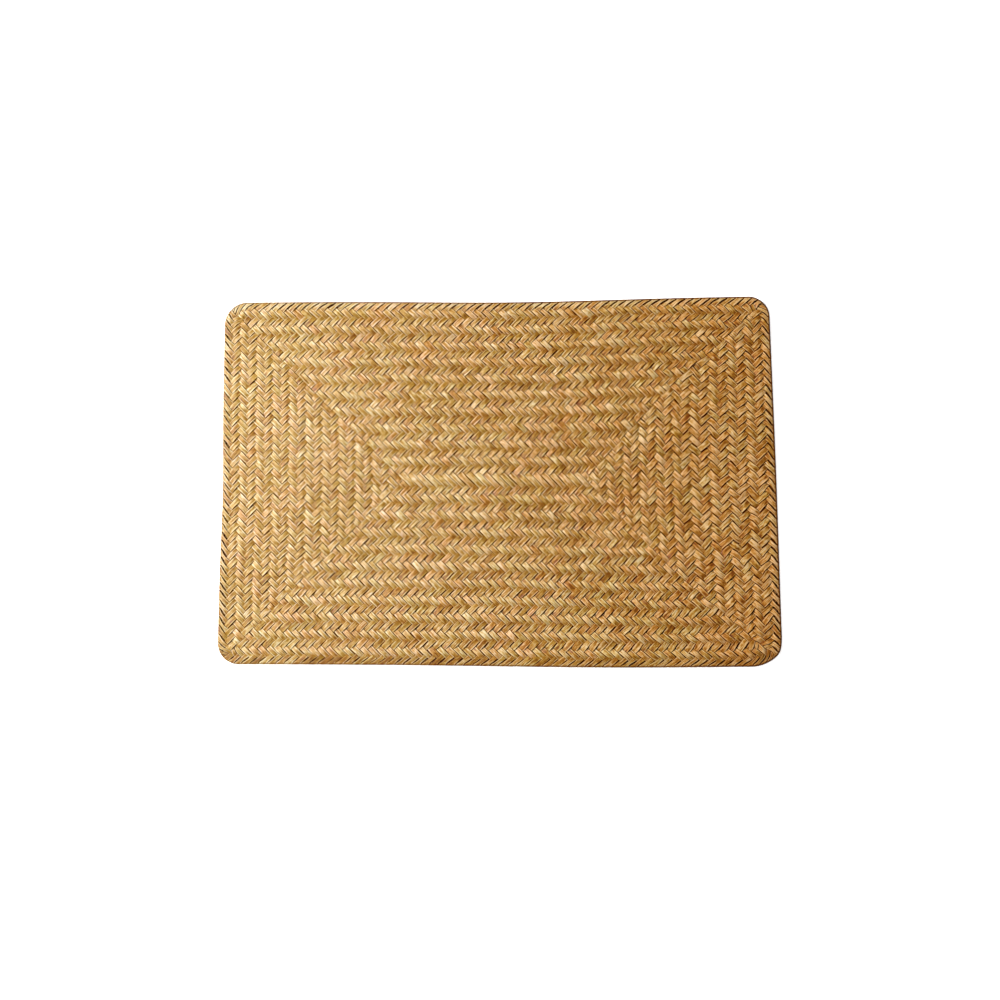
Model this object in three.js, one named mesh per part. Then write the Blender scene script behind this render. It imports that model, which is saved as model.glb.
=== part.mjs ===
import * as THREE from 'three';
import { mergeVertices } from 'three/addons/utils/BufferGeometryUtils.js';

// Seagrass placemat: flat strands plaited on the bias into closed twill rows and turned back at the rim.
// Millimetres, +Z up, origin on the table under the middle of the mat, +X along its length.

// Driving dimensions
const LENGTH = 450; // between the mean lines of the two short sides
const WIDTH = 298; // between the mean lines of the two long sides
const THICKNESS = 3; // from the table to the crest of a row, two crossed strands
const GROOVE_DEPTH = 0.45; // how far the line between two rows lies below their crests
const CLOSED_ROWS = 21; // rows that run right round the mat
const CENTRE_ROW_PITCHES = 1.5; // the long row in the middle is half as wide again as the others
const MITRE_RADIUS = 1; // at the turns of the inner rows

// The rim is round: how far in each of its lines lies, and how high, as a share of the thickness
const RIM_LINES = [
  { inset: 1.1, height: 0 },
  { inset: 0.25, height: 0.2 },
  { inset: 0, height: 0.46 },
  { inset: 0.45, height: 0.8 },
];

// The corners, counter-clockwise: which way each lies, how far it has slipped from a true rectangle, its round
const CORNERS = [
  { toX: 1, toY: -1, slipX: 2, slipY: 1.2, radius: 25 },
  { toX: 1, toY: 1, slipX: -3, slipY: 1.3, radius: 17 },
  { toX: -1, toY: 1, slipX: -1.5, slipY: 0.5, radius: 19 },
  { toX: -1, toY: -1, slipX: 0.5, slipY: 0, radius: 17 },
];

// The bows of the sides: where along the side each is deepest, how far it spreads, how far it stands out
const LONG_SIDE_BOWS = [
  { toY: 1, at: 20, spread: 110, out: -2.5 },
  { toY: -1, at: 95, spread: 140, out: 2 },
];
const SHORT_SIDE_BOWS = [
  { toX: 1, at: 8, spread: 90, out: 0.5 },
  { toX: -1, at: -10, spread: 50, out: -1.3 },
];

// How finely each line round the mat is drawn
const CORNER_STEPS = 4;
const LONG_SIDE_STEPS = 10;
const SHORT_SIDE_STEPS = 7;

const ROW_PITCH = WIDTH / (2 * CLOSED_ROWS + CENTRE_ROW_PITCHES);

// A bow is a smooth swell along its side
function swell(bow, along) {
  return bow.out * Math.exp(-(((along - bow.at) / bow.spread) ** 2));
}

// Takes a point of the true rectangle to its place on the hand-made mat, whose corners slip and sides bow
function handMade(x, y) {
  const acrossX = (2 * x) / LENGTH;
  const acrossY = (2 * y) / WIDTH;
  const moved = new THREE.Vector2(x, y);
  for (const corner of CORNERS) {
    const share = ((1 + corner.toX * acrossX) * (1 + corner.toY * acrossY)) / 4;
    moved.x += share * corner.slipX;
    moved.y += share * corner.slipY;
  }
  for (const bow of LONG_SIDE_BOWS) {
    moved.y += bow.toY * swell(bow, x) * ((1 + bow.toY * acrossY) / 2) ** 2;
  }
  for (const bow of SHORT_SIDE_BOWS) {
    moved.x += bow.toX * swell(bow, y) * ((1 + bow.toX * acrossX) / 2) ** 2;
  }
  return moved;
}

// One rounded corner of the closed line that lies this far in from the rim
function cornerArc(corner, index, inset) {
  const radius = Math.max(corner.radius - inset, MITRE_RADIUS);
  const centreX = corner.toX * (LENGTH / 2 - inset - radius);
  const centreY = corner.toY * (WIDTH / 2 - inset - radius);
  const arc = new THREE.EllipseCurve(
    centreX,
    centreY,
    radius,
    radius,
    ((index - 1) * Math.PI) / 2,
    (index * Math.PI) / 2,
  );
  return arc.getPoints(CORNER_STEPS);
}

// The whole closed line: each corner's arc, then the side from its end to the next corner's start
function closedLine(inset) {
  const arcs = CORNERS.map((corner, index) => cornerArc(corner, index, inset));
  const points = [];
  arcs.forEach((arc, index) => {
    const start = arc[arc.length - 1];
    const end = arcs[(index + 1) % arcs.length][0];
    const steps = index % 2 === 0 ? SHORT_SIDE_STEPS : LONG_SIDE_STEPS;
    points.push(...arc);
    for (let step = 1; step < steps; step++) {
      points.push(start.clone().lerp(end, step / steps));
    }
  });
  return points.map((point) => handMade(point.x, point.y));
}

// The mat's section, from under the middle, round the rim and over every row to the top of the middle
function sectionLines() {
  const middle = WIDTH / 2;
  const lines = [{ inset: middle, z: 0 }];
  for (const line of RIM_LINES) {
    lines.push({ inset: line.inset, z: line.height * THICKNESS });
  }
  for (let row = 0; row < CLOSED_ROWS; row++) {
    lines.push({ inset: (row + 0.5) * ROW_PITCH, z: THICKNESS });
    lines.push({ inset: (row + 1) * ROW_PITCH, z: THICKNESS - GROOVE_DEPTH });
  }
  lines.push({ inset: (CLOSED_ROWS + CENTRE_ROW_PITCHES / 4) * ROW_PITCH, z: THICKNESS });
  lines.push({ inset: middle, z: THICKNESS });
  return lines;
}

// A turned form gives the faces: its round rings are drawn out into the mat's closed lines
function matGeometry() {
  const lines = sectionLines();
  const rings = lines.map((line) => closedLine(Math.min(line.inset, WIDTH / 2 - MITRE_RADIUS)));
  const steps = rings[0].length;
  const profile = lines.map((line) => new THREE.Vector2(WIDTH / 2 - line.inset, line.z));
  const turned = new THREE.LatheGeometry(profile, steps);
  const position = turned.getAttribute('position');
  for (let step = 0; step <= steps; step++) {
    lines.forEach((line, row) => {
      const onAxis = row === 0 || row === lines.length - 1;
      const point = onAxis ? handMade(0, 0) : rings[row][step % steps];
      position.setXYZ(step * lines.length + row, point.x, point.y, line.z);
    });
  }
  turned.deleteAttribute('normal');
  turned.deleteAttribute('uv');
  const geometry = mergeVertices(turned);
  geometry.computeBoundingBox();
  const centre = geometry.boundingBox.getCenter(new THREE.Vector3());
  geometry.translate(-centre.x, -centre.y, 0);
  geometry.computeVertexNormals();
  return geometry;
}

const seagrass = new THREE.MeshStandardMaterial({ color: 0xc39a5c, roughness: 0.62, metalness: 0 });

const wovenMat = new THREE.Mesh(matGeometry(), seagrass);
wovenMat.name = 'woven_mat';

const placemat = new THREE.Group();
placemat.add(wovenMat);

export default placemat;
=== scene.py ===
"""A seagrass placemat: flat strands plaited on the bias into closed twill rows, lying on a pale floor."""

import math

import bpy
import numpy as np
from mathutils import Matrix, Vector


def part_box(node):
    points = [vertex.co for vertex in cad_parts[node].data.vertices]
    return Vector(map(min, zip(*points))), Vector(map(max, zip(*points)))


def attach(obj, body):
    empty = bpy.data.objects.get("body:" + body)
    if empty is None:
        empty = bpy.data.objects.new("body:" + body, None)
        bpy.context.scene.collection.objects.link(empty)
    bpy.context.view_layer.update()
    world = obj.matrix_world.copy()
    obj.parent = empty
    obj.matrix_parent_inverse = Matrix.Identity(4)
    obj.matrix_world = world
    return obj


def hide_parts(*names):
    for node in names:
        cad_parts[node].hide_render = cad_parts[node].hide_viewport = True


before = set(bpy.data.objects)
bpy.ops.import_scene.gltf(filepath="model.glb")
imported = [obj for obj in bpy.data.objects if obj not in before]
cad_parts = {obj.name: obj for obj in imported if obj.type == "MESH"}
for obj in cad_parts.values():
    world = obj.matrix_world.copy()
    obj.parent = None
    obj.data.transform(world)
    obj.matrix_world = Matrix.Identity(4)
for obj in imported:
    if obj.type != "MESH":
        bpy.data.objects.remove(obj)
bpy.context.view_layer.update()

MAT_LOW, MAT_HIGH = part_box("woven_mat")
MM = 0.001
TINY = 1e-9

# The mat's outline, as in the solid
LENGTH = 450 * MM
WIDTH = 298 * MM
MIDDLE_HEIGHT = MAT_LOW.z + (MAT_HIGH.z - MAT_LOW.z) / 2

# Corners: which way each lies, how far it has slipped from a true rectangle, its round
CORNERS = [
    {"to_x": 1, "to_y": -1, "slip_x": 2 * MM, "slip_y": 1.2 * MM, "radius": 25 * MM},
    {"to_x": 1, "to_y": 1, "slip_x": -3 * MM, "slip_y": 1.3 * MM, "radius": 17 * MM},
    {"to_x": -1, "to_y": 1, "slip_x": -1.5 * MM, "slip_y": 0.5 * MM, "radius": 19 * MM},
    {"to_x": -1, "to_y": -1, "slip_x": 0.5 * MM, "slip_y": 0, "radius": 17 * MM},
]

# Bows of the sides: where along the side each is deepest, how far it spreads, how far it stands out
LONG_SIDE_BOWS = [
    {"to_y": 1, "at": 20 * MM, "spread": 110 * MM, "out": -2.5 * MM},
    {"to_y": -1, "at": 95 * MM, "spread": 140 * MM, "out": 2 * MM},
]
SHORT_SIDE_BOWS = [
    {"to_x": 1, "at": 8 * MM, "spread": 90 * MM, "out": 0.5 * MM},
    {"to_x": -1, "at": -10 * MM, "spread": 50 * MM, "out": -1.3 * MM},
    {"to_x": 1, "at": -140 * MM, "spread": 8 * MM, "out": 2.4 * MM},  # the loose corner, not in the solid
]

# The weave: strands cross on a diamond lattice, counted in half row pitches between the folds at the rim
STEPS_X = 132
STEPS_Y = 88
CENTRE_STEP = STEPS_Y // 2  # rows count from the back edge up to here, and from the front edge beyond
EDGE_ROW_STEPS = 2  # the last step of the row along the rim, which is one crossing wider than the others

# A strand's middle, as its height over the mat's middle plane, and its thickness above and below that
STRAND_LEVEL = 1.08 * MM
CROWN = 0.36 * MM
BELLY = 0.3 * MM
CROSSING_LEVEL = 0.48  # how high it stands at the crossing next to a dive, of its full level
ARCH_LEVEL = 0.85  # and halfway between two crossings that it passes on the same side
INNER_LEVEL = 0.95  # and at a crossing with the same side on both hands

# A strand's width, as a share of the room between its neighbours
RISING_FILL = 0.94
FALLING_FILL = 0.98
RIM_FILL = [(0, 1.02), (0.5, 0.97), (0.85, 0.74), (1.6, 0.77)]  # near the rim, by steps from the fold
INNER_FILL_FROM = 2.6  # steps
FRONT_RIM_FILL = 0.14  # along the front rim they are wider by this share

# The rim: a strand turns round it, and the weave is squeezed together just inside
TURN_START = STRAND_LEVEL * math.pi / 2
RIM_REACH = STRAND_LEVEL + CROWN
EDGE_SQUEEZE = 1.6 * MM
SQUEEZE_REACH = 5 * MM
RIM_GROWTH = EDGE_SQUEEZE + TURN_START - RIM_REACH
RIM_SLOPE_REACH = 5 * MM  # the mat slopes down to the rim over this length, by these shares above and below
RIM_SLOPE_ABOVE = 0.45
RIM_SLOPE_BELOW = 0.2
FREE_STEPS = 2  # strands lie evenly where they turn, and are fully uneven this many steps inside

# The lattice from fold to fold
FOLD_LENGTH = LENGTH + 2 * RIM_GROWTH
FOLD_WIDTH = WIDTH + 2 * RIM_GROWTH
STEP_X = FOLD_LENGTH / STEPS_X
STEP_Y = FOLD_WIDTH / STEPS_Y
STEP = math.hypot(STEP_X, STEP_Y)

# Unevenness by hand: each strand's place, and its height, roll and width as they wander along it
SEED = 20
PLACE_JITTER = 0.23  # of a step
LEVEL_JITTER = 0.05
ROLL_JITTER = 0.11  # radians
WIDTH_JITTER = 0.09
WANDER_STEPS = 2  # what wanders along a strand is evened out over this many steps

# Near the rim the widths differ more: from which step from the fold, and where that starts to fade
RIM_FILL_JITTER = 0.22
RIM_JITTER_FULL = 0.85
RIM_FADE_START = 1.2
RIM_FADE_STEPS = 1.2

# The drift of the whole weave: how far, and in waves of which lengths and starts
DRIFT = 0.45 * MM
DRIFT_WAVES = [(61 * MM, 0.4), (47 * MM, 1.9), (83 * MM, 2.7), (39 * MM, 4.4)]
DRIFT_HOLD = 3 * STEP_X  # it dies out over this length at the rim
ROUGH_DRIFT = 0.9 * MM  # the right end is also uneven from strand to strand
ROUGH_WAVES = [(13 * MM, 1.1), (17 * MM, 3.6), (23 * MM, 5.2), (29 * MM, 0.2)]
ROUGH_START = 0.6  # of the length
WAVE_SLANT_X = 0.6  # the waves that move strands along x run at a slant, and so do those along y
WAVE_SLANT_Y = 0.5

# The weave slackens towards the right end, where strands have moved off the end and off the middle line
SLACK_X = 7 * MM
SLACK_Y = 2.5 * MM
SLACK_START = 0.5  # of the length
SLACK_PEAK = 0.85

# A strand's section: points across its top, then back under it, from -1 to 1 of its half width
TOP_ACROSS = np.array([-1, -0.93, -0.78, -0.44, -0.15, 0.15, 0.44, 0.78, 0.93, 1])
TOP_SHAPE = np.array([0, 0.84, 0.96, 1, 1, 1, 1, 0.96, 0.84, 0])
UNDER_ACROSS = np.array([0.7, -0.7])
ACROSS = np.concatenate([TOP_ACROSS, UNDER_ACROSS])
FACING = np.concatenate([np.ones(len(TOP_ACROSS)), -np.ones(len(UNDER_ACROSS))])
SECTION = len(ACROSS)
GROOVED = range(2, 8)  # the points of the top that may lie in a groove
GROOVE_DEPTH = 0.12 * MM
SPLIT_POINTS = range(3, 7)  # and those that may lie in a split
SPLIT_SHARE = 0.4  # of strands show a split
SPLIT_DEPTH = 0.34 * MM

# Where a strand is drawn, as shares of a step
LEVEL_CUTS = [0, 0.5]
DIVE_CUTS = [0, 0.25, 0.5, 0.75]
TURN_CUTS = [0, 0.08, 0.16, 0.24, 0.33, 0.5, 0.75]

# Tone, from 0 for the darkest brown to 1 for the palest straw. A drift is what the right end has more of
TONE_MEAN = 0.5
TONE_SPREAD = 0.07
TONE_LIMITS = (0.15, 0.85)
TONE_DRIFT = 0.06
TONE_WANDER = 0.1
MOTTLE_DRIFT = 0.6
RIM_TONE_JITTER = 0.1
CREST_TONE = 0.14  # a painted highlight on the crest of a float, painted shade at its ends where it dives
CREST_DRIFT = 0.08
CREST_START = 0.3  # of the level, and full over the next part
CREST_LENGTH = 0.5
FRONT_ROW_TONE = -0.16  # the row along the front rim is painted darker as in shade, the one along the back rim paler as in light
BACK_ROW_TONE = 0.15
ROW_FADE = (5.5 * MM, 7.5 * MM)

# Painted light: falling strands are painted paler than rising ones, as the light falls along them: by how
# much, from the left end at -1 to the right end at 1
WAY_TONE = [(-1, 0.01), (0, 0.06), (0.4, 0.08), (0.8, 0.025), (1, 0.02)]

# Hue, from 0 for rose to 1 for olive: the left end is yellower, the right end redder
HUE_WANDER = 0.3
HUE_WANDER_STEPS = 3
HUE_DRIFT = 0.3
RED_END = 0.3
RED_START = 0.3

# Painted shade: the sides of strands, the faces under other strands and the turn of the rim are painted
# darker, more so towards the right end
GAP_SHADE = 0.76
GAP_SHADE_DRIFT = 0.22
GAP_JITTER = 0.32
GAP_SHADE_LEAST = 0.1
HIDDEN_LEVEL = -0.25  # a face that lies lower than this is under other strands
FOLD_REACH = (1.35 * MM, 2.1 * MM)  # painted shade on the turn of the rim: full this far from the fold, then fading
FOLD_SHADE = 0.6
FOLD_SHADE_DRIFT = 0.3
FOLD_SHADE_BACK = 0.3  # more painted shade along the back rim
FOLD_SHADE_MOST = 0.95

# The meshes and their maps
PIECES_A_WAY = 3  # the strands of each direction are shared out over this many meshes
MAP_NAME = "OFBake"
MAP_MARGIN = 0.06  # of a strand's strip of the map is left free on each side
STRIP_WIDTH = 1.25  # of a strip, in steps
ROW_SLACK = 1.005  # rows of the map are longer than needed by this factor
HIDDEN_SHARE = 0.16  # of a strip goes to the side that another strand covers
PATTERN_STARTS = 100  # the fibre pattern of each strand starts anywhere up to here

rng = np.random.default_rng(SEED)
rim_rng = np.random.default_rng(SEED + 1)


def smooth(t):
    """A smooth step from 0 to 1."""
    t = np.clip(t, 0, 1)
    return t * t * (3 - 2 * t)


def swell(bow, along):
    """How far a side stands out at some place along it."""
    return bow["out"] * np.exp(-(((along - bow["at"]) / bow["spread"]) ** 2))


def hand_made(x, y):
    """Takes points of the true rectangle to their places on the mat, whose corners slip and sides bow."""
    across_x = 2 * x / LENGTH
    across_y = 2 * y / WIDTH
    moved_x = x.copy()
    moved_y = y.copy()
    for corner in CORNERS:
        share = (1 + corner["to_x"] * across_x) * (1 + corner["to_y"] * across_y) / 4
        moved_x += share * corner["slip_x"]
        moved_y += share * corner["slip_y"]
    for bow in LONG_SIDE_BOWS:
        moved_y += bow["to_y"] * swell(bow, x) * ((1 + bow["to_y"] * across_y) / 2) ** 2
    for bow in SHORT_SIDE_BOWS:
        moved_x += bow["to_x"] * swell(bow, y) * ((1 + bow["to_x"] * across_x) / 2) ** 2
    return moved_x, moved_y


def rounded(in_x, in_y, radius):
    """Rounds a corner of closed lines, for points given by their distance in from its two sides."""
    inset = np.minimum(in_x, in_y)
    past_mitre = np.abs(in_x - in_y)
    bend = np.maximum(radius - inset, TINY)
    angle = np.minimum(past_mitre / bend, 1) * math.pi / 4 - 3 * math.pi / 4
    along = inset + bend + bend * np.cos(angle)
    away = inset + bend + bend * np.sin(angle)
    in_bend = past_mitre < bend
    long_way = np.where(in_bend, along, np.maximum(in_x, in_y))
    short_way = np.where(in_bend, away, inset)
    by_x = in_x > in_y
    return np.where(by_x, long_way, short_way), np.where(by_x, short_way, long_way)


def corner_radius(right, back):
    """The round of the corner that each point belongs to."""
    radius = np.zeros(right.shape)
    for corner in CORNERS:
        here = (right == (corner["to_x"] > 0)) & (back == (corner["to_y"] > 0))
        radius[here] = corner["radius"]
    return radius


def waves_at(x, y, waves):
    """The mean of some slanting waves, one value for moves along x and one for moves along y."""
    move_x = np.zeros_like(x)
    move_y = np.zeros_like(y)
    for length, phase in waves:
        turn = 2 * math.pi / length
        move_x += np.sin(turn * (y + WAVE_SLANT_X * x) + phase)
        move_y += np.sin(turn * (x - WAVE_SLANT_Y * y) + 2 * phase)
    return move_x / len(waves), move_y / len(waves)


def drifted(x, y):
    """The drift of a weave pulled tight by hand, which dies out at the rim, and its slack right end."""
    inside = np.minimum(np.minimum(x, FOLD_LENGTH - x), np.minimum(y, FOLD_WIDTH - y))
    hold = smooth(inside / DRIFT_HOLD)
    share_x = np.clip(x / FOLD_LENGTH, 0, 1)
    share_y = np.clip(y / FOLD_WIDTH, 0, 1)
    slow_x, slow_y = waves_at(x, y, DRIFT_WAVES)
    rough_x, rough_y = waves_at(x, y, ROUGH_WAVES)
    rough = ROUGH_DRIFT * smooth((share_x - ROUGH_START) / (1 - ROUGH_START))
    move_x = hold * (DRIFT * slow_x + rough * rough_x)
    move_y = hold * (DRIFT * slow_y + rough * rough_y)

    slack = smooth((share_x - SLACK_START) / (SLACK_PEAK - SLACK_START))
    slack = slack * np.minimum((1 - share_x) / (1 - SLACK_PEAK), 1)
    move_x = move_x - SLACK_X * slack * np.sin(math.pi * share_y)
    move_y = move_y - SLACK_Y * slack * np.sin(2 * math.pi * share_y)
    return x + move_x, y + move_y


def turn_at(distance):
    """How far a strand has turned round the rim, from its distance to the fold."""
    return np.clip((TURN_START - distance) / STRAND_LEVEL, 0, math.pi / 2)


def inset_of(distance, height):
    """How far inside the rim a point lies, from its distance to the fold and its height."""
    beyond = np.maximum(distance - TURN_START, 0)
    squeezed = EDGE_SQUEEZE * (1 - np.exp(-beyond / SQUEEZE_REACH))
    return RIM_REACH - np.abs(height) * np.sin(turn_at(distance)) + beyond - squeezed


def placed(x, y, height):
    """Takes points of the flat lattice, with a height over the middle plane, to the finished mat."""
    x, y = drifted(x, y)
    right = x > FOLD_LENGTH / 2
    back = y > FOLD_WIDTH / 2
    from_x = np.where(right, FOLD_LENGTH - x, x)
    from_y = np.where(back, FOLD_WIDTH - y, y)
    in_x, in_y = rounded(inset_of(from_x, height), inset_of(from_y, height), corner_radius(right, back))
    flat_x = np.where(right, LENGTH / 2 - in_x, in_x - LENGTH / 2)
    flat_y = np.where(back, WIDTH / 2 - in_y, in_y - WIDTH / 2)
    from_fold = np.minimum(from_x, from_y)
    thinner = 1 - smooth((from_fold - TURN_START) / RIM_SLOPE_REACH)
    share = 1 - thinner * np.where(height > 0, RIM_SLOPE_ABOVE, RIM_SLOPE_BELOW)
    z = np.maximum(MIDDLE_HEIGHT + height * share * np.cos(turn_at(from_fold)), MAT_LOW.z)
    mat_x, mat_y = hand_made(flat_x, flat_y)
    return np.stack([mat_x, mat_y, z], axis=-1)


def row_number(steps):
    """Which row a crossing lies in, counted from its edge."""
    return np.where(steps <= EDGE_ROW_STEPS, 0, (steps - 1) // 2)


def rising_on_top(k, l):
    """Whether the rising strand is the upper one where lattice column k meets lattice row l."""
    from_back = STEPS_Y - l
    from_side = np.minimum(k, STEPS_X - k)
    from_long_side = np.where(from_back <= CENTRE_STEP, from_back, l)
    in_long_rows = np.minimum(l, from_back) < from_side
    along_long = row_number(from_long_side) % 2 == 0
    along_short = row_number(from_side) % 2 == 1
    return np.where(in_long_rows, along_long, along_short)


class Way:
    """One direction of strands: how its lines run over the lattice, and each strand's own unevenness."""

    def __init__(self, rising):
        self.rising = rising
        self.low = 1 - STEPS_Y if rising else 1
        high = STEPS_X if rising else STEPS_X + STEPS_Y
        self.numbers = np.arange(self.low, high, 2)
        count = len(self.numbers)
        self.jitter = rng.uniform(-1, 1, count + 2) * PLACE_JITTER
        self.tone = np.clip(rng.normal(TONE_MEAN, TONE_SPREAD, count), *TONE_LIMITS)
        self.hue = rng.uniform(0, 1, count)

    def slot(self, number):
        """A strand's place in the lists of tones and hues."""
        return np.clip((np.asarray(number) - self.low) // 2, 0, len(self.numbers) - 1)

    def offset(self, number):
        """How far a strand lies off its lattice line, in steps, with room for the lines past the corners."""
        return self.jitter[(np.asarray(number) - self.low) // 2 + 1]

    def crossings(self, number):
        """The lattice columns and rows that a strand crosses, from its left end to its right end."""
        if self.rising:
            first_k = max(number, 0)
            first_l = first_k - number
            count = min(STEPS_X - first_k, STEPS_Y - first_l)
            index = np.arange(count + 1)
            return first_k + index, first_l + index
        first_k = max(0, number - STEPS_Y)
        first_l = number - first_k
        count = min(STEPS_X - first_k, first_l)
        index = np.arange(count + 1)
        return first_k + index, first_l - index


rising = Way(True)
falling = Way(False)


def from_rim(k, l):
    """How many steps a crossing lies inside the rim."""
    return np.minimum(np.minimum(k, STEPS_X - k), np.minimum(l, STEPS_Y - l))


def free(steps):
    """How far a strand may stray: not at all where it turns round the rim, fully some steps inside."""
    return smooth(steps / FREE_STEPS)


def draw_places(centres, levels):
    """The places along a strand where its section is drawn: close together where it dives or turns."""
    last = len(centres) - 1
    places = []
    for i in range(last):
        room = centres[i + 1] - centres[i]
        cuts = LEVEL_CUTS if levels[i] == levels[i + 1] else DIVE_CUTS
        if i == 0:
            cuts = TURN_CUTS
        elif i == last - 1:
            cuts = [0] + [1 - cut for cut in reversed(TURN_CUTS[1:])]
        places += [centres[i] + room * cut for cut in cuts]
    return np.array(places + [centres[last]])


def level_along(levels, centres, places):
    """A strand's height, 1 over and -1 under: an arch over two crossings, then a smooth dive."""
    last = len(levels) - 1
    same = levels[:-1] == levels[1:]
    inner = np.concatenate([[True], same]) & np.concatenate([same, [True]])
    knots = np.zeros(2 * last + 1)
    knots[::2] = levels * np.where(inner, INNER_LEVEL, CROSSING_LEVEL)
    knots[[0, -1]] = levels[[0, -1]]
    between = (knots[:-2:2] + knots[2::2]) / 2
    knots[1::2] = np.where(same, levels[:-1] * np.maximum(ARCH_LEVEL, np.abs(between)), 0)
    slopes = np.gradient(knots)
    slopes[[0, -1]] = 0
    step = np.clip(np.searchsorted(centres, places, side="right") - 1, 0, last - 1)
    share = (places - centres[step]) / (centres[step + 1] - centres[step])
    halves = np.clip(2 * (step + share), 0, 2 * last)
    knot = np.minimum(halves.astype(int), 2 * last - 1)
    t = halves - knot
    start = knots[knot] * (1 + 2 * t) * (1 - t) ** 2 + slopes[knot] * t * (1 - t) ** 2
    return start + knots[knot + 1] * t * t * (3 - 2 * t) + slopes[knot + 1] * t * t * (t - 1)


def section_heights():
    """One strand's own section: crowned on both faces, with shallow grooves and now and then a split."""
    plain = np.concatenate([CROWN * TOP_SHAPE, np.full(len(UNDER_ACROSS), -BELLY)])
    worn = plain.copy()
    worn[GROOVED] -= rng.uniform(0, 1, len(GROOVED)) ** 2 * GROOVE_DEPTH
    if rng.uniform() < SPLIT_SHARE:
        worn[rng.integers(SPLIT_POINTS.start, SPLIT_POINTS.stop)] -= SPLIT_DEPTH
    return plain, worn


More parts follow.
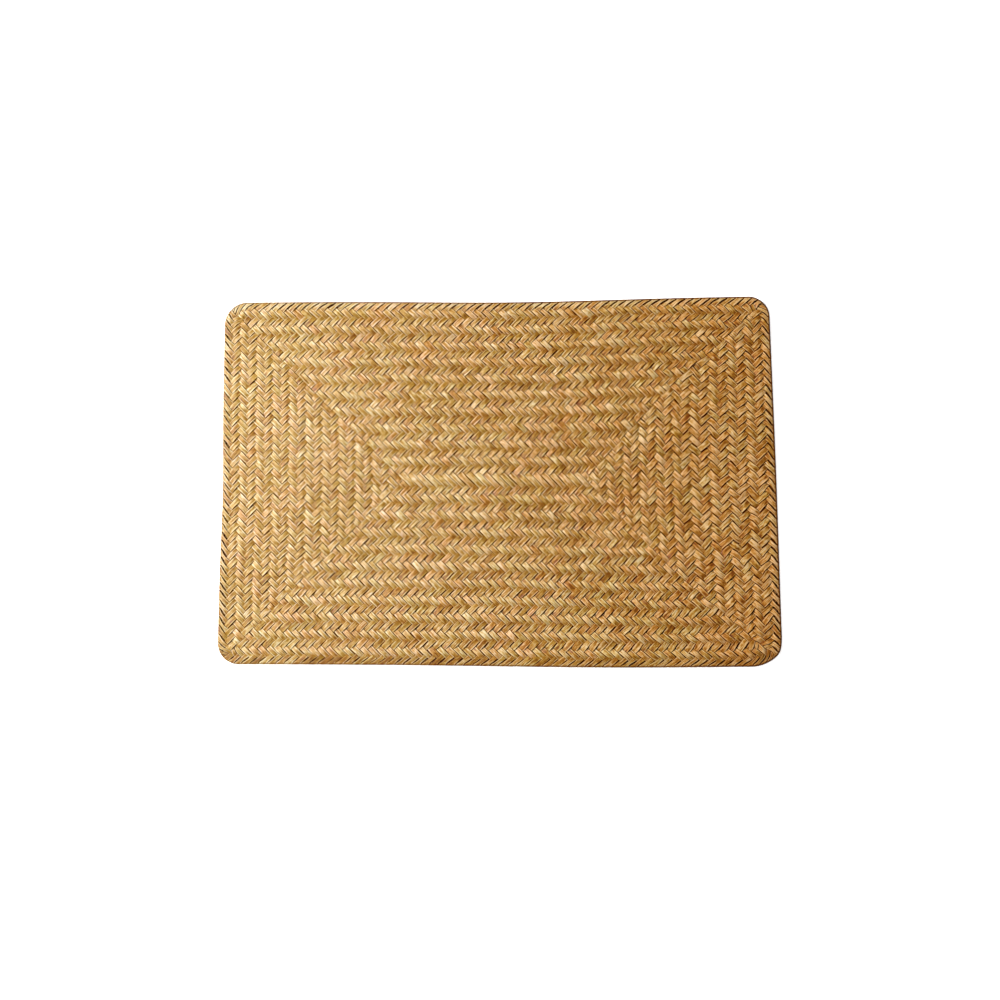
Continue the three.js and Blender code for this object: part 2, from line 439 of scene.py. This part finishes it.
class Strand:
    """One strand from fold to fold: its points, and what its material and map need to know of each."""

    def __init__(self, way, other, number):
        self.way = way
        self.other = other
        self.number = number
        self.side = -1 if way.rising else 1
        self.k, self.l = way.crossings(number)
        self.last = len(self.k) - 1
        self.crossed = self.k + self.l if way.rising else self.k - self.l
        on_top = rising_on_top(self.k, self.l) == way.rising
        levels = np.where(on_top, 1.0, -1.0)
        held = free(from_rim(self.k, self.l))
        centres = np.arange(self.last + 1) + other.offset(self.crossed) * held / 2
        self.places = draw_places(centres, levels)
        self.level = level_along(levels, centres, self.places)
        self.from_end = np.minimum(self.places, self.last - self.places)
        self.loose = free(self.from_end)
        self.at_first_end = self.places < self.last / 2
        self.past_rim = smooth((self.from_end - RIM_FADE_START) / RIM_FADE_STEPS)
        self.along = self.places * STEP
        self.lift = (self.level + 1) / 2
        x, y, height = self.lattice_points()
        self.points = placed(x, y, height)
        self.values = self.point_values(x, y)

    def wander(self, spread, steps=WANDER_STEPS, source=rng):
        """A value that wanders along the strand, drawn once a step and evened out."""
        values = source.normal(0, spread, self.last + 1)
        kernel = np.ones(steps) / steps
        values = np.convolve(np.pad(values, steps, mode="edge"), kernel, mode="same")
        return np.interp(self.places, np.arange(self.last + 1), values[steps:-steps])

    def half_widths(self):
        """The width on each side of its middle: up to the neighbours, which lie unevenly."""
        own = self.way.offset(self.number)
        plus = self.side * (self.way.offset(self.number + 2 * self.side) - own) / 2
        minus = -self.side * (self.way.offset(self.number - 2 * self.side) - own) / 2
        ripple = 1 + self.loose * self.wander(WIDTH_JITTER)
        inner_fill = RISING_FILL if self.way.rising else FALLING_FILL
        fill_steps = [at for at, _ in RIM_FILL] + [INNER_FILL_FROM]
        fill_shares = [share for _, share in RIM_FILL] + [inner_fill]
        fill = np.interp(self.from_end, fill_steps, fill_shares)
        jitter = np.where(self.at_first_end, *rim_rng.uniform(-1, 1, 2)) * RIM_FILL_JITTER
        front = np.where(self.at_first_end, self.l[0] == 0, self.l[-1] == 0) * FRONT_RIM_FILL
        near_rim = smooth(self.from_end / RIM_JITTER_FULL) * (1 - self.past_rim)
        fill = fill * (1 + (jitter + front) * near_rim)
        half_plus = STEP / 2 * fill * (1 + self.loose * plus) * ripple
        half_minus = STEP / 2 * fill * (1 + self.loose * minus) * ripple
        return half_plus, half_minus

    def end_shift(self, k, l, lateral):
        """How far along the strand its end is cut, so that it meets the fold, which runs slantwise to it."""
        on_long_side = l in (0, STEPS_Y)
        shift = lateral * STEP_X / STEP_Y if on_long_side else -lateral * STEP_Y / STEP_X
        return self.side * shift / STEP

    def lattice_points(self):
        """All points of its sections: their places on the flat lattice, and their heights."""
        middle = STRAND_LEVEL * self.level * (1 + self.loose * self.wander(LEVEL_JITTER))
        roll = self.loose * self.wander(ROLL_JITTER)
        half_plus, half_minus = self.half_widths()
        lateral = np.where(ACROSS > 0, half_plus[:, None], half_minus[:, None]) * ACROSS
        plain, worn = section_heights()
        section = plain + self.loose[:, None] * (worn - plain)
        height = middle[:, None] + roll[:, None] * lateral + section
        off_line = self.loose * self.side * self.way.offset(self.number) * STEP / 2
        lateral = lateral + off_line[:, None]

        # Ends are cut along the fold
        reach = min(FREE_STEPS, self.last / 2)
        first_cut = np.maximum(1 - self.places / reach, 0)[:, None]
        last_cut = np.maximum(1 - (self.last - self.places) / reach, 0)[:, None]
        run = self.places[:, None] + first_cut * self.end_shift(self.k[0], self.l[0], lateral)
        run = run + last_cut * self.end_shift(self.k[-1], self.l[-1], lateral)

        x = self.k[0] * STEP_X + run * STEP_X + self.side * lateral * STEP_Y / STEP
        y = self.l[0] * STEP_Y - run * self.side * STEP_Y + lateral * STEP_X / STEP
        return x, y, height

    def at_folds(self, own, others):
        """The strand's own value, and at its folds the mean with the strand that it turns into."""
        first = (own + others[self.other.slot(self.crossed[0])]) / 2
        final = (own + others[self.other.slot(self.crossed[-1])]) / 2
        inner = first + (own - first) * free(self.places)
        return final + (inner - final) * free(self.last - self.places)

    def tone_along(self, to_right):
        """How pale the strand is along its length."""
        tone = self.at_folds(self.way.tone[self.way.slot(self.number)], self.other.tone)
        tone = tone + self.loose * self.wander(TONE_WANDER) * (1 + MOTTLE_DRIFT * to_right)
        # Painted highlight on the crest, painted shade where the strand dives, stronger towards the right
        # end
        crest = smooth((np.abs(self.level) - CREST_START) / CREST_LENGTH) - 0.5
        tone = tone + TONE_DRIFT * to_right + crest * (CREST_TONE + CREST_DRIFT * to_right)
        # Painted light: falling strands paler, rising strands darker
        way_tone = np.interp(to_right, [at for at, _ in WAY_TONE], [gain for _, gain in WAY_TONE])
        tone = tone + (-way_tone if self.way.rising else way_tone) * self.loose
        jitter = np.where(self.at_first_end, *rim_rng.normal(0, 1, 2)) * RIM_TONE_JITTER
        return tone + jitter * (1 - self.past_rim)

    def hue_along(self, to_right):
        """How olive or how rosy the strand is along its length."""
        hue = self.at_folds(self.way.hue[self.way.slot(self.number)], self.other.hue)
        hue = hue + self.loose * self.wander(HUE_WANDER, HUE_WANDER_STEPS)
        return hue - HUE_DRIFT * to_right - RED_END * smooth((to_right - RED_START) / (1 - RED_START))

    def point_values(self, x, y):
        """What the material reads at each point, from the points' places on the lattice and on the mat."""
        to_right = self.points[:, :, 0].mean(axis=1) * 2 / LENGTH
        row_start, row_end = ROW_FADE
        in_front_row = 1 - smooth((y - row_start) / (row_end - row_start))
        in_back_row = 1 - smooth((FOLD_WIDTH - y - row_start) / (row_end - row_start))
        tone = self.tone_along(to_right)[:, None]
        # Painted shade on the row along the front rim, painted light on the row along the back rim
        tone = tone + FRONT_ROW_TONE * in_front_row + BACK_ROW_TONE * in_back_row
        hue = self.hue_along(to_right)[:, None]
        start = rng.uniform(0, PATTERN_STARTS)

        # Painted shade: how dark the sides of a strand, its faces under other strands and the turn of the
        # rim are painted, more so towards the right end; the fold's is stronger along the back rim
        gap = GAP_SHADE + GAP_SHADE_DRIFT * to_right + self.wander(GAP_JITTER, source=rim_rng)
        gap = np.clip(gap, GAP_SHADE_LEAST, 1)[:, None]
        painted_under_shade = 1 - smooth((self.level[:, None] * FACING - HIDDEN_LEVEL) / -HIDDEN_LEVEL)
        fold = FOLD_SHADE + FOLD_SHADE_DRIFT * to_right[:, None] + FOLD_SHADE_BACK * in_back_row
        fold_start, fold_end = FOLD_REACH
        from_fold = np.minimum(np.minimum(x, FOLD_LENGTH - x), np.minimum(y, FOLD_WIDTH - y))
        past_fold = smooth((from_fold - fold_start) / (fold_end - fold_start))
        # gap, fold and the under-strand value carry the painted shade to the material
        values = {
            "tone": tone,
            "hue": hue,
            "along": self.along[:, None] + start,
            "across": ACROSS,
            "fold": np.clip(fold, 0, FOLD_SHADE_MOST) * (1 - past_fold),
            "warm": smooth((to_right[:, None] + 1) / 2),
            "painted_under_shade": painted_under_shade * gap,
            "gap": gap,
        }
        return {name: np.broadcast_to(value, x.shape) for name, value in values.items()}


def strand_faces(rows, start):
    """Quads along a strand and a cap at each end, as point numbers."""
    row = np.arange(rows - 1)[:, None] * SECTION + start
    here = np.arange(SECTION)
    after = (here + 1) % SECTION
    quads = np.stack([row + here, row + after, row + SECTION + after, row + SECTION + here], axis=-1)
    first = np.arange(start, start + SECTION)[::-1]
    final = np.arange(start + (rows - 1) * SECTION, start + rows * SECTION)
    return quads.reshape(-1, 4), first, final


def map_shares(lift):
    """Where the section's points lie across the strand's strip of the map. The side that shows gets most."""
    shown = HIDDEN_SHARE + (1 - 2 * HIDDEN_SHARE) * lift[:, None]
    top = (TOP_ACROSS + 1) / 2
    under = np.concatenate([(1 - UNDER_ACROSS) / 2, [1]])
    shares = np.concatenate([top * shown, shown + (1 - shown) * under], axis=1)
    return MAP_MARGIN + (1 - 2 * MAP_MARGIN) * shares


class MapRows:
    """Lays the strands of one mesh end to end in rows that fill a square map."""

    def __init__(self, total, strip):
        self.row_length = math.sqrt(total * strip) * ROW_SLACK
        self.rows = math.ceil(total / self.row_length) + 1
        self.row = 0
        self.used = 0.0

    def strip_of(self, length):
        """The next free part of a row with this length, from where to where, and which row it is."""
        if self.used + length > self.row_length:
            self.row += 1
            self.used = 0.0
        start = self.used / self.row_length
        self.used += length
        return start, self.used / self.row_length, self.row


def strand_map(strand, rows_of_map):
    """Map places of every quad corner of a strand."""
    shares = map_shares(strand.lift)
    lengths = np.diff(strand.along)
    corners = np.zeros((len(lengths), SECTION, 4, 2))
    for i, length in enumerate(lengths):
        start, stop, row = rows_of_map.strip_of(length)
        low = (row + shares[i]) / rows_of_map.rows
        high = (row + shares[i + 1]) / rows_of_map.rows
        corners[i, :, 0] = np.stack([np.full(SECTION, start), low[:-1]], axis=1)
        corners[i, :, 1] = np.stack([np.full(SECTION, start), low[1:]], axis=1)
        corners[i, :, 2] = np.stack([np.full(SECTION, stop), high[1:]], axis=1)
        corners[i, :, 3] = np.stack([np.full(SECTION, stop), high[:-1]], axis=1)
    return corners.reshape(-1, 2)


def joined(strands):
    """The points of some strands as one list, with their quads and the caps at their ends."""
    points, quads, caps = [], [], []
    start = 0
    for strand in strands:
        rows = len(strand.points)
        sides, first, final = strand_faces(rows, start)
        quads.append(sides)
        caps += [first.tolist(), final.tolist()]
        points.append(strand.points.reshape(-1, 3))
        start += rows * SECTION
    return np.concatenate(points), np.concatenate(quads), caps


def add_map(mesh, strands, caps):
    """Gives a mesh its map: the strips of all its strands, and one spot for the caps, which never show."""
    total = sum(strand.along[-1] - strand.along[0] for strand in strands)
    rows_of_map = MapRows(total, STEP * STRIP_WIDTH)
    corners = [strand_map(strand, rows_of_map) for strand in strands]
    corners.append(np.full((len(caps) * SECTION, 2), 0.5 / rows_of_map.rows))
    layer = mesh.uv_layers.new(name=MAP_NAME)
    layer.uv.foreach_set("vector", np.concatenate(corners).astype(np.float32).ravel())


def make_piece(name, strands, material):
    """Joins strands into one mesh with its map and the values that the material reads."""
    points, quads, caps = joined(strands)
    mesh = bpy.data.meshes.new(name)
    mesh.from_pydata(points.tolist(), [], quads.tolist() + caps)
    add_map(mesh, strands, caps)
    for value in strands[0].values:
        attribute = mesh.attributes.new(value, "FLOAT", "POINT")
        numbers = np.concatenate([strand.values[value].ravel() for strand in strands])
        attribute.data.foreach_set("value", numbers.astype(np.float32))
    smooth_faces = np.ones(len(mesh.polygons), bool)
    smooth_faces[len(quads):] = False
    mesh.polygons.foreach_set("use_smooth", smooth_faces)
    mesh.materials.append(material)
    mesh.update()
    piece = bpy.data.objects.new(name, mesh)
    bpy.context.scene.collection.objects.link(piece)
    return piece


class Nodes:
    """Short names for building a material's nodes."""

    def __init__(self, material):
        material.use_nodes = True
        self.tree = material.node_tree
        self.tree.nodes.clear()

    def add(self, kind, **settings):
        node = self.tree.nodes.new(kind)
        for key, value in settings.items():
            setattr(node, key, value)
        return node

    def join(self, source, target):
        self.tree.links.new(source, target)

    def feed(self, socket, value):
        if isinstance(value, bpy.types.NodeSocket):
            self.join(value, socket)
        else:
            socket.default_value = value

    def attribute(self, name):
        return self.add("ShaderNodeAttribute", attribute_name=name).outputs["Fac"]

    def math(self, operation, first, second=0.0):
        node = self.add("ShaderNodeMath", operation=operation)
        self.feed(node.inputs[0], first)
        self.feed(node.inputs[1], second)
        return node.outputs[0]

    def vector(self, x, y, z):
        node = self.add("ShaderNodeCombineXYZ")
        for socket, value in zip(node.inputs, (x, y, z)):
            self.feed(socket, value)
        return node.outputs[0]

    def noise(self, vector):
        node = self.add("ShaderNodeTexNoise")
        self.join(vector, node.inputs["Vector"])
        node.inputs["Scale"].default_value = NOISE_SCALE
        node.inputs["Detail"].default_value = NOISE_DETAIL
        node.inputs["Roughness"].default_value = NOISE_ROUGHNESS
        return node.outputs["Fac"]

    def spread(self, value, span, to_low=0.0, to_high=1.0):
        """Takes a value from a span, low to high, to another one, and holds it there."""
        node = self.add("ShaderNodeMapRange", clamp=True)
        for socket, number in zip(node.inputs, (value, *span, to_low, to_high)):
            self.feed(socket, number)
        return node.outputs[0]

    def ramp(self, value, stops):
        node = self.add("ShaderNodeValToRGB")
        elements = node.color_ramp.elements
        while len(elements) < len(stops):
            elements.new(0.5)
        for element, (at, colour) in zip(elements, stops):
            element.position = at
            element.color = (*colour, 1)
        self.join(value, node.inputs["Fac"])
        return node.outputs["Color"]

    def mix(self, factor, first, second, blend="MIX"):
        """Mixes two colours. The mix node has a set of sockets for each type, and 6, 7 and 2 are colours."""
        node = self.add("ShaderNodeMix", data_type="RGBA", blend_type=blend)
        self.feed(node.inputs[0], factor)
        self.feed(node.inputs[6], first)
        self.feed(node.inputs[7], second)
        return node.outputs[2]

    def tint(self, factor, colour, tint):
        return self.mix(factor, colour, (*tint, 1), "MULTIPLY")

    def surface(self, bsdf):
        output = self.add("ShaderNodeOutputMaterial")
        self.join(bsdf.outputs[0], output.inputs["Surface"])


# Seagrass colours, linear: from the darkest brown blade to the palest straw
TONES = [
    (0.0, (0.225, 0.066, 0.001)),
    (0.25, (0.390, 0.166, 0.004)),
    (0.5, (0.552, 0.303, 0.046)),
    (0.75, (0.712, 0.496, 0.220)),
    (1.0, (0.850, 0.708, 0.535)),
]
OLIVE_TINT = (0.97, 1.025, 0.92)
OLIVE_HUES = (0.5, 1.1)
ROSE_TINT = (1.04, 0.88, 0.83)
ROSE_HUES = (0.5, -0.3)
WARM_TINT = (1.0, 0.885, 0.60)  # towards the right end
# the whiter tint of the painted highlight on the lip
LIP_TINT = (1.0, 0.97, 0.82)
# the brown of painted shade: in gaps, under other strands, at the turn of the rim and on the floor under the
# mat
PAINTED_SHADE_BROWN = (0.110, 0.020, 0.0)

# Patterns in a blade: how fine across and along it, its layer of the noise, the noise used, and its tone
BLADE = {"across": 1.1, "along": 55, "layer": 0.0, "noise": (0.25, 0.75), "tone": 0.12}
STREAK = {"across": 1.9, "along": 90, "layer": 3.0, "noise": (0.25, 0.75), "tone": 0.34}
FIBRE = {"across": 3.6, "along": 300, "layer": 7.0, "noise": (0.3, 0.7), "tone": 0.3}
GRAIN_LEFT = 0.97  # how strong streaks and fibres are at the left end, and at the right end
GRAIN_RIGHT = 1.36
NOISE_SCALE = 1.0
NOISE_DETAIL = 2.0
NOISE_ROUGHNESS = 0.5

# Across a strand, from its middle at 0 to its edge at 1: a painted highlight on the lip, then a border of
# painted shade, then its side in painted shade
LIP = (0.5, 0.66)
LIP_TONE = 0.44
BORDER = (0.78, 0.86)
BORDER_TONE = -1.2
EDGE = (0.84, 0.92)

# A waxy gloss along the fibre, which the shaded parts lack
UNIT = (0.0, 1.0)
GLOSS = 0.65
GLOSS_NOISE = (0.25, 0.75)
ROUGHNESS_LOW = 0.4
ROUGHNESS_HIGH = 0.55
BUMP_STRENGTH = 0.5
BUMP_DEPTH = 0.12 * MM


def seagrass_material():
    """Dry seagrass: lengthwise fibres, blades of mixed straw colours, a waxy gloss along the fibre."""
    material = bpy.data.materials.new("seagrass")
    nodes = Nodes(material)
    across = nodes.attribute("across")
    along = nodes.attribute("along")
    warm = nodes.attribute("warm")
    gap = nodes.attribute("gap")

    def pattern(kind):
        """A pattern's noise, and what it adds to the tone."""
        on_x = nodes.math("MULTIPLY", across, kind["across"])
        on_y = nodes.math("MULTIPLY", along, kind["along"])
        noise = nodes.noise(nodes.vector(on_x, on_y, kind["layer"]))
        return noise, nodes.spread(noise, kind["noise"], -kind["tone"], kind["tone"])

    _, blade_tone = pattern(BLADE)
    streak, streak_tone = pattern(STREAK)
    fibre, fibre_tone = pattern(FIBRE)
    grain = nodes.math("ADD", streak_tone, fibre_tone)
    grain = nodes.math("MULTIPLY", grain, nodes.spread(warm, UNIT, GRAIN_LEFT, GRAIN_RIGHT))
    tone = nodes.math("ADD", nodes.attribute("tone"), blade_tone)
    tone = nodes.math("ADD", tone, grain)
    from_middle = nodes.math("ABSOLUTE", across)
    # Painted highlight on the lip, and painted shade on the border as strong as the gap value
    lip = nodes.spread(from_middle, LIP, 0.0, LIP_TONE)
    border = nodes.math("MULTIPLY", nodes.spread(from_middle, BORDER, 0.0, BORDER_TONE), gap)
    tone = nodes.math("ADD", tone, nodes.math("ADD", lip, border))

    hue = nodes.attribute("hue")
    colour = nodes.ramp(tone, TONES)
    colour = nodes.tint(nodes.spread(hue, OLIVE_HUES), colour, OLIVE_TINT)
    colour = nodes.tint(nodes.spread(hue, ROSE_HUES), colour, ROSE_TINT)
    colour = nodes.tint(warm, colour, WARM_TINT)
    # the painted highlight on the lip is whiter
    colour = nodes.tint(nodes.spread(from_middle, LIP), colour, LIP_TINT)
    # Painted shade: the side of a strand, the turn of the rim and the faces under other strands are mixed to
    # the shade brown
    edge = nodes.spread(from_middle, EDGE)
    dark = nodes.math("MULTIPLY", edge, gap)
    dark = nodes.math("MAXIMUM", dark, nodes.attribute("fold"))
    dark = nodes.math("MAXIMUM", dark, nodes.attribute("painted_under_shade"))
    colour = nodes.mix(dark, colour, (*PAINTED_SHADE_BROWN, 1))

    bsdf = nodes.add("ShaderNodeBsdfPrincipled")
    roughness = nodes.spread(fibre, GLOSS_NOISE, ROUGHNESS_LOW, ROUGHNESS_HIGH)
    gloss = nodes.spread(nodes.math("MAXIMUM", dark, edge), UNIT, GLOSS, 0.0)
    nodes.join(colour, bsdf.inputs["Base Color"])
    nodes.join(roughness, bsdf.inputs["Roughness"])
    nodes.join(gloss, bsdf.inputs["Specular IOR Level"])
    bump = nodes.add("ShaderNodeBump")
    bump.inputs["Strength"].default_value = BUMP_STRENGTH
    bump.inputs["Distance"].default_value = BUMP_DEPTH
    nodes.join(nodes.math("ADD", fibre, streak), bump.inputs["Height"])
    nodes.join(bump.outputs["Normal"], bsdf.inputs["Normal"])
    nodes.surface(bsdf)
    return material


def weave():
    """All strands, shared out over a few meshes for each direction."""
    material = seagrass_material()
    pieces = []
    for name, way, other in (("rising_strands", rising, falling), ("falling_strands", falling, rising)):
        strands = [Strand(way, other, int(number)) for number in way.numbers]
        for share in range(PIECES_A_WAY):
            pieces.append(make_piece(f"{name}_{share + 1}", strands[share::PIECES_A_WAY], material))
    return pieces


def centre_on_frame(pieces):
    """Moves the finished weave so that its box is centred as the solid's is."""
    clouds = []
    for piece in pieces:
        numbers = np.zeros(len(piece.data.vertices) * 3, np.float32)
        piece.data.vertices.foreach_get("co", numbers)
        clouds.append(numbers.reshape(-1, 3))
    low = np.min([cloud.min(axis=0) for cloud in clouds], axis=0)
    high = np.max([cloud.max(axis=0) for cloud in clouds], axis=0)
    move_x = (MAT_LOW.x + MAT_HIGH.x) / 2 - (low[0] + high[0]) / 2
    move_y = (MAT_LOW.y + MAT_HIGH.y) / 2 - (low[1] + high[1]) / 2
    for piece, cloud in zip(pieces, clouds):
        cloud[:, 0] += move_x
        cloud[:, 1] += move_y
        piece.data.vertices.foreach_set("co", cloud.ravel())
        piece.data.update()


# The floor
FLOOR_SIZE = 12.0
FLOOR_GAP = 0.2 * MM
FLOOR_WHITE = (0.93, 0.93, 0.93)
FLOOR_ROUGHNESS = 0.9
FLOOR_GLOSS = 0.1
UNDER_MAT_INSET = 0.4 * MM
UNDER_MAT_POINTS = 160


def mat_line(inset, count):
    """A closed line inside the mat's outline, counter-clockwise, as flat x and y."""
    angle = np.arange(count) * 2 * math.pi / count
    x = np.cos(angle)
    y = np.sin(angle)
    reach_x = LENGTH / 2 / np.maximum(np.abs(x), TINY)
    reach_y = WIDTH / 2 / np.maximum(np.abs(y), TINY)
    reach = np.minimum(reach_x, reach_y)
    in_x = LENGTH / 2 - np.abs(x) * reach + inset
    in_y = WIDTH / 2 - np.abs(y) * reach + inset
    in_x, in_y = rounded(in_x, in_y, corner_radius(x > 0, y > 0))
    return hand_made(np.sign(x) * (LENGTH / 2 - in_x), np.sign(y) * (WIDTH / 2 - in_y))


def floor_material(name, colour):
    """A plain matt surface."""
    material = bpy.data.materials.new(name)
    nodes = Nodes(material)
    bsdf = nodes.add("ShaderNodeBsdfPrincipled")
    bsdf.inputs["Base Color"].default_value = (*colour, 1)
    bsdf.inputs["Roughness"].default_value = FLOOR_ROUGHNESS
    bsdf.inputs["Specular IOR Level"].default_value = FLOOR_GLOSS
    nodes.surface(bsdf)
    return material


def floor_part(name, points, faces, material):
    """A flat part of the floor, which belongs to the stage."""
    mesh = bpy.data.meshes.new(name)
    mesh.from_pydata(points, [], faces)
    mesh.materials.append(material)
    part = bpy.data.objects.new(name, mesh)
    bpy.context.scene.collection.objects.link(part)
    return part


def make_floor():
    """The floor round the mat, and the part right under it, a dark sheet of painted shade so that no gap
    gleams.
    """
    x, y = mat_line(UNDER_MAT_INSET, UNDER_MAT_POINTS)
    count = len(x)
    z = np.full(count, MAT_LOW.z - FLOOR_GAP)
    away = FLOOR_SIZE / 2 / np.hypot(x, y)
    inner = np.stack([x, y, z], axis=1).tolist()
    outer = np.stack([x * away, y * away, z], axis=1).tolist()
    after = [(i + 1) % count for i in range(count)]
    ring = [(i, i + count, after[i] + count, after[i]) for i in range(count)]
    # A dark sheet of painted shade under the mat
    floor_part("floor_under_mat", inner, [range(count)], floor_material("floor_shade", PAINTED_SHADE_BROWN))
    return floor_part("floor", inner + outer, ring, floor_material("floor_white", FLOOR_WHITE))


# The light: a lamp far to the left, a soft one close above the left end, and one for the floor alone
KEY_LEFT = {"place": (-2.25, 1.0, 1.5), "size": 0.6, "power": 107, "colour": (1.0, 0.98, 0.96)}
SOFTBOX_ABOVE = {"place": (-0.42, -0.04, 0.6), "size": 0.3, "power": 2.2, "colour": (1.0, 1.0, 1.0)}
FLOOR_WASH = {"place": (0.1, -0.1, 2.5), "size": 2.0, "power": 75, "colour": (1.0, 1.0, 1.0)}
WORLD_COLOUR = (1, 0.75, 0.42, 1)
WORLD_STRENGTH = 0.05


def area_light(name, settings):
    """A square lamp that points at the middle of the mat and isn't seen itself."""
    light = bpy.data.lights.new(name, "AREA")
    light.shape = "SQUARE"
    light.size = settings["size"]
    light.energy = settings["power"]
    light.color = settings["colour"]
    lamp = bpy.data.objects.new(name, light)
    lamp.location = settings["place"]
    lamp.visible_camera = False
    aim = -lamp.location
    lamp.rotation_euler = aim.to_track_quat("-Z", "Y").to_euler()
    bpy.context.scene.collection.objects.link(lamp)
    return lamp


def light_scene(floor):
    """Sets up the lamps and the dim warm light from all round."""
    area_light("key_left", KEY_LEFT)
    area_light("softbox_above", SOFTBOX_ABOVE)
    wash = area_light("floor_wash", FLOOR_WASH)
    lit = bpy.data.collections.new("floor_only")
    lit.objects.link(floor)
    wash.light_linking.receiver_collection = lit
    world = bpy.data.worlds.new("studio")
    world.use_nodes = True
    background = world.node_tree.nodes["Background"]
    background.inputs["Color"].default_value = WORLD_COLOUR
    background.inputs["Strength"].default_value = WORLD_STRENGTH
    bpy.context.scene.world = world
    bpy.context.scene.view_settings.view_transform = "Standard"


# The camera stands over the mat, a little to its right and in front of it
CAMERA_PLACE = (53.8 * MM, -123.9 * MM, 982.9 * MM)
CAMERA_TURN = (6.26, 2.93, 0.2)  # degrees
CAMERA_LENS = 44
CAMERA_NEAR = 0.01


def set_camera():
    """Places the camera at the photo's angle."""
    camera = bpy.data.objects.new("camera", bpy.data.cameras.new("camera"))
    camera.location = CAMERA_PLACE
    camera.rotation_euler = [math.radians(turn) for turn in CAMERA_TURN]
    camera.data.lens = CAMERA_LENS
    camera.data.clip_start = CAMERA_NEAR
    bpy.context.scene.collection.objects.link(camera)
    bpy.context.scene.camera = camera


pieces = weave()
centre_on_frame(pieces)
for piece in pieces:
    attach(piece, "root")
    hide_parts("woven_mat")
light_scene(make_floor())
set_camera()
